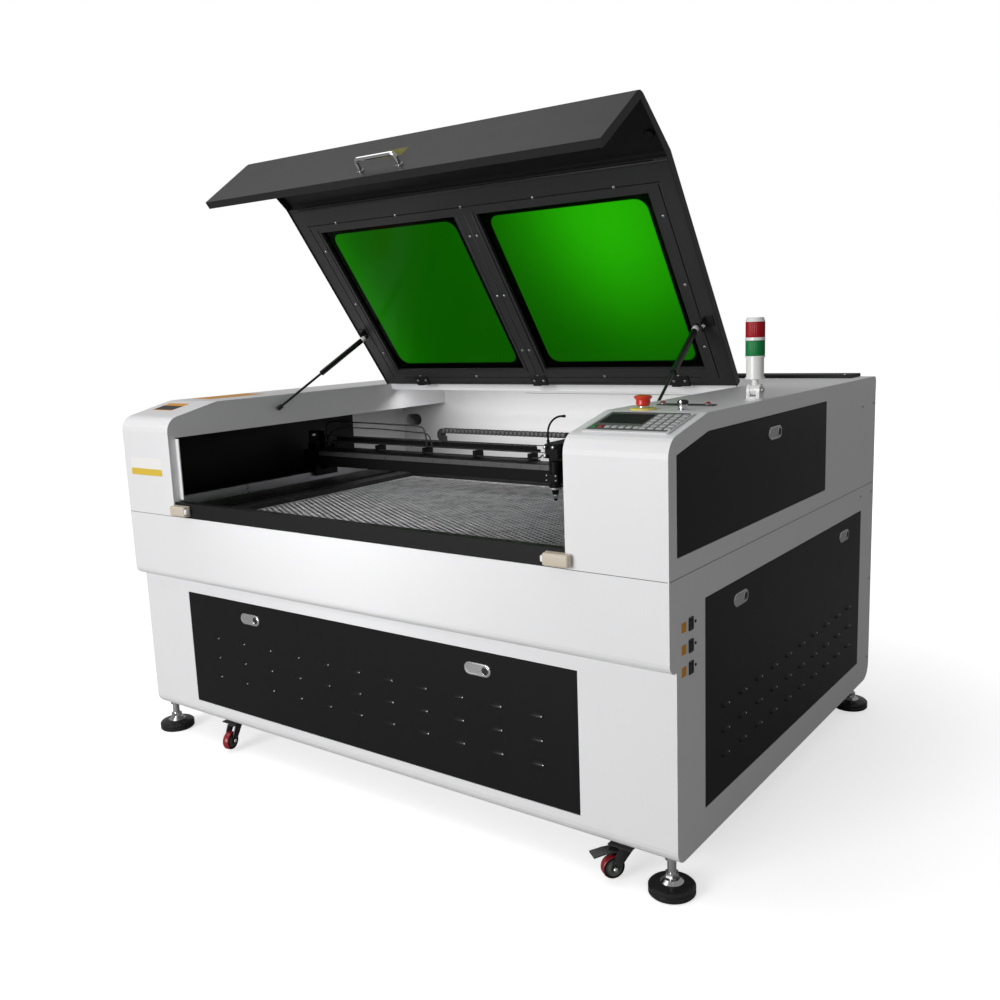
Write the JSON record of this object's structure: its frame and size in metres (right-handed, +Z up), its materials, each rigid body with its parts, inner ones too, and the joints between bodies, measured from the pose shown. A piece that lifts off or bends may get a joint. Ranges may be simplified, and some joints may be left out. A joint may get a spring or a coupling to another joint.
{
  "type": "laser engraving machine",
  "caption": "Gantry laser engraver and cutter: steel cabinet on levelling feet, lift-up windowed lid on gas struts, honeycomb table, moving laser head.",
  "frame": {"origin": "centre of the footprint, on the floor under the levelling feet", "axes": "+X to the operator's right along the gantry, +Y from the front to the back, +Z up"},
  "size_m": [1.888, 1.476, 1.7702],
  "materials": {
    "white_paint": "satin",
    "black_paint": "satin",
    "door_paint": "satin",
    "panel_black": "matt",
    "beige_plastic": "satin",
    "black_plastic": "matt",
    "white_plastic": "gloss",
    "grey_panel": "satin",
    "yellow_plastic": "satin",
    "red_plastic": "gloss",
    "lens_colours": "gloss",
    "green_acrylic": "tinted, clear",
    "tube_glass": "clear",
    "zinc_steel": "zinc-plated",
    "rail_steel": "ground",
    "aluminium_comb": "bare",
    "table_alu": "matt",
    "chrome_wire": "polished",
    "foot_rubber": "matt",
    "belt_rubber": "matt",
    "wheel_tread": "satin"
  },
  "bodies": {
    "machine": {"lower_cabinet": "white_paint", "work_well": "panel_black", "left_housing": "white_paint", "right_housing": "white_paint", "top_deck": "white_paint", "rear_wall": "white_paint", "front_sill": "black_paint", "lid_catches": "beige_plastic", "rear_panels": "white_paint", "levelling_feet": "foot_rubber", "control_panel": "grey_panel", "switch_frames": "yellow_plastic", "tower_base": "white_plastic", "y_rails": "rail_steel", "table_frame": "table_alu", "honeycomb": "aluminium_comb", "laser_tube": "tube_glass", "inner_equipment": "zinc_steel", "hinges_and_studs": "black_paint", "caster_plates": "black_paint"},
    "lid": {"lid_shell": "door_paint", "lid_frame": "door_paint", "lid_windows": "green_acrylic", "lid_handle": "chrome_wire", "lid_brackets": "black_paint"},
    "left_strut_rod": {"strut_rod_left": "chrome_wire"},
    "left_strut_cylinder": {"strut_cylinder_left": "black_paint"},
    "right_strut_rod": {"strut_rod_right": "chrome_wire"},
    "right_strut_cylinder": {"strut_cylinder_right": "black_paint"},
    "front_door": {"front_door": "door_paint"},
    "upper_side_door": {"upper_side_door": "door_paint"},
    "lower_side_door": {"lower_side_door": "door_paint"},
    "front_left_latch": {"front_button_left": "black_plastic"},
    "front_right_latch": {"front_button_right": "black_plastic"},
    "upper_side_latch": {"upper_button": "black_plastic"},
    "lower_front_latch": {"lower_button_front": "black_plastic"},
    "lower_rear_latch": {"lower_button_rear": "black_plastic"},
    "rear_cover": {"rear_cover": "black_paint"},
    "gantry": {"gantry_beam": "black_paint", "x_rail": "rail_steel", "x_belt": "belt_rubber"},
    "laser_head": {"carriage": "black_paint", "chain_upper": "black_plastic"},
    "chain_bend": {"chain_bend": "black_plastic"},
    "lens_tube": {"lens_tube": "black_paint"},
    "estop": {"estop_button": "red_plastic"},
    "key": {"key": "zinc_steel"},
    "top_rocker": {"rocker_top": "black_plastic"},
    "middle_rocker": {"rocker_middle": "black_plastic"},
    "bottom_rocker": {"rocker_bottom": "black_plastic"},
    "signal_tower": {"tower_post": "white_plastic", "tower_lenses": "lens_colours"},
    "front_left_caster": {"caster_fork_front_left": "black_paint"},
    "front_left_wheel": {"caster_wheel_front_left": "wheel_tread"},
    "front_right_caster": {"caster_fork_front_right": "black_paint"},
    "front_right_wheel": {"caster_wheel_front_right": "wheel_tread"},
    "rear_left_caster": {"caster_fork_rear_left": "black_paint"},
    "rear_left_wheel": {"caster_wheel_rear_left": "wheel_tread"},
    "rear_right_caster": {"caster_fork_rear_right": "black_paint"},
    "rear_right_wheel": {"caster_wheel_rear_right": "wheel_tread"}
  },
  "joints": [
    {"name": "lid_hinge", "type": "hinge", "parent": "machine", "child": "lid", "pos_m": [0, 0.245, 1.062], "axis": [1, 0, 0], "range_deg": [0, 53.9]},
    {"name": "left_strut_pivot", "type": "hinge", "parent": "machine", "child": "left_strut_rod", "pos_m": [-0.685, -0.298, 1.014], "axis": [-0.9811, 0.1853, -0.0551], "range_deg": [-0.5, 30.05]},
    {"name": "left_strut_slide", "type": "slide", "parent": "left_strut_rod", "child": "left_strut_cylinder", "axis": [0.1329, 0.8536, 0.5037], "range_m": [-0.12148, 0.001]},
    {"name": "right_strut_pivot", "type": "hinge", "parent": "machine", "child": "right_strut_rod", "pos_m": [0.665, -0.298, 1.014], "axis": [-0.9871, -0.1537, 0.0457], "range_deg": [-0.5, 30.13]},
    {"name": "right_strut_slide", "type": "slide", "parent": "right_strut_rod", "child": "right_strut_cylinder", "axis": [-0.1099, 0.856, 0.5051], "range_m": [-0.12196, 0.001]},
    {"name": "front_door_hinge", "type": "hinge", "parent": "machine", "child": "front_door", "pos_m": [-0.016, -0.6828, 0.1442], "axis": [1, 0, 0], "range_deg": [0, 90]},
    {"name": "upper_side_door_hinge", "type": "hinge", "parent": "machine", "child": "upper_side_door", "pos_m": [0.9218, -0.226, 0.7742], "axis": [0, 1, 0], "range_deg": [0, 90]},
    {"name": "lower_side_door_hinge", "type": "hinge", "parent": "machine", "child": "lower_side_door", "pos_m": [0.9218, 0.01, 0.1692], "axis": [0, 1, 0], "range_deg": [0, 90]},
    {"name": "front_left_latch_press", "type": "slide", "parent": "front_door", "child": "front_left_latch", "axis": [0, 1, 0], "range_m": [0, 0.0035], "stiffness_N_per_m": 900},
    {"name": "front_right_latch_press", "type": "slide", "parent": "front_door", "child": "front_right_latch", "axis": [0, 1, 0], "range_m": [0, 0.0035], "stiffness_N_per_m": 900},
    {"name": "upper_side_latch_press", "type": "slide", "parent": "upper_side_door", "child": "upper_side_latch", "axis": [-1, 0, 0], "range_m": [0, 0.0035], "stiffness_N_per_m": 900},
    {"name": "lower_front_latch_press", "type": "slide", "parent": "lower_side_door", "child": "lower_front_latch", "axis": [-1, 0, 0], "range_m": [0, 0.0035], "stiffness_N_per_m": 900},
    {"name": "lower_rear_latch_press", "type": "slide", "parent": "lower_side_door", "child": "lower_rear_latch", "axis": [-1, 0, 0], "range_m": [0, 0.0035], "stiffness_N_per_m": 900},
    {"name": "rear_cover_hinge", "type": "hinge", "parent": "machine", "child": "rear_cover", "pos_m": [0, 0.684, 1.0585], "axis": [-1, 0, 0], "range_deg": [0, 90]},
    {"name": "gantry_slide", "type": "slide", "parent": "machine", "child": "gantry", "axis": [0, 1, 0], "range_m": [-0.545, 0.355]},
    {"name": "head_slide", "type": "slide", "parent": "gantry", "child": "laser_head", "axis": [1, 0, 0], "range_m": [-0.867, 0.393]},
    {"name": "chain_slide", "type": "slide", "parent": "laser_head", "child": "chain_bend", "axis": [1, 0, 0], "range_m": [-0.204, 0.441], "deforming": ["chain_upper"]},
    {"name": "lens_focus", "type": "slide", "parent": "laser_head", "child": "lens_tube", "axis": [0, 0, 1], "range_m": [-0.012, 0.008]},
    {"name": "estop_press", "type": "slide", "parent": "machine", "child": "estop", "axis": [0, 0, -1], "range_m": [0, 0.005]},
    {"name": "key_turn", "type": "hinge", "parent": "machine", "child": "key", "pos_m": [0.85, -0.497, 1.07], "axis": [0, 0, 1], "range_deg": [-90, 0]},
    {"name": "top_rocker_tip", "type": "hinge", "parent": "machine", "child": "top_rocker", "pos_m": [0.923, -0.619, 0.616], "axis": [0, 1, 0], "range_deg": [-14, 0]},
    {"name": "middle_rocker_tip", "type": "hinge", "parent": "machine", "child": "middle_rocker", "pos_m": [0.923, -0.619, 0.5675], "axis": [0, 1, 0], "range_deg": [-14, 0]},
    {"name": "bottom_rocker_tip", "type": "hinge", "parent": "machine", "child": "bottom_rocker", "pos_m": [0.923, -0.619, 0.519], "axis": [0, 1, 0], "range_deg": [-14, 0]},
    {"name": "tower_fold", "type": "hinge", "parent": "machine", "child": "signal_tower", "pos_m": [0.901, -0.218, 1.079], "axis": [-1, 0, 0], "range_deg": [0, 90]},
    {"name": "front_left_swivel", "type": "hinge", "parent": "machine", "child": "front_left_caster", "pos_m": [-0.587, -0.652, 0.08], "axis": [0, 0, 1], "continuous": true},
    {"name": "front_left_roll", "type": "hinge", "parent": "front_left_caster", "child": "front_left_wheel", "pos_m": [-0.57924, -0.68098, 0.034], "axis": [0.9659, 0.2588, 0], "continuous": true},
    {"name": "front_right_swivel", "type": "hinge", "parent": "machine", "child": "front_right_caster", "pos_m": [0.775, -0.652, 0.08], "axis": [0, 0, 1], "continuous": true},
    {"name": "front_right_roll", "type": "hinge", "parent": "front_right_caster", "child": "front_right_wheel", "pos_m": [0.75653, -0.67564, 0.034], "axis": [0.788, -0.6157, 0], "continuous": true},
    {"name": "rear_left_swivel", "type": "hinge", "parent": "machine", "child": "rear_left_caster", "pos_m": [-0.587, 0.622, 0.08], "axis": [0, 0, 1], "continuous": true},
    {"name": "rear_left_roll", "type": "hinge", "parent": "rear_left_caster", "child": "rear_left_wheel", "pos_m": [-0.572, 0.64798, 0.034], "axis": [-0.866, 0.5, 0], "continuous": true},
    {"name": "rear_right_swivel", "type": "hinge", "parent": "machine", "child": "rear_right_caster", "pos_m": [0.775, 0.622, 0.08], "axis": [0, 0, 1], "continuous": true},
    {"name": "rear_right_roll", "type": "hinge", "parent": "rear_right_caster", "child": "rear_right_wheel", "pos_m": [0.76474, 0.65019, 0.034], "axis": [-0.9397, -0.342, 0], "continuous": true}
  ],
  "couplings": [
    {"joint": "left_strut_pivot", "follows": "lid_hinge", "ratio": 0.54825},
    {"joint": "left_strut_slide", "follows": "lid_hinge", "m_per_rad": -0.12807},
    {"joint": "right_strut_pivot", "follows": "lid_hinge", "ratio": 0.54965},
    {"joint": "right_strut_slide", "follows": "lid_hinge", "m_per_rad": -0.12858},
    {"joint": "chain_slide", "follows": "head_slide", "ratio": -0.5}
  ]
}
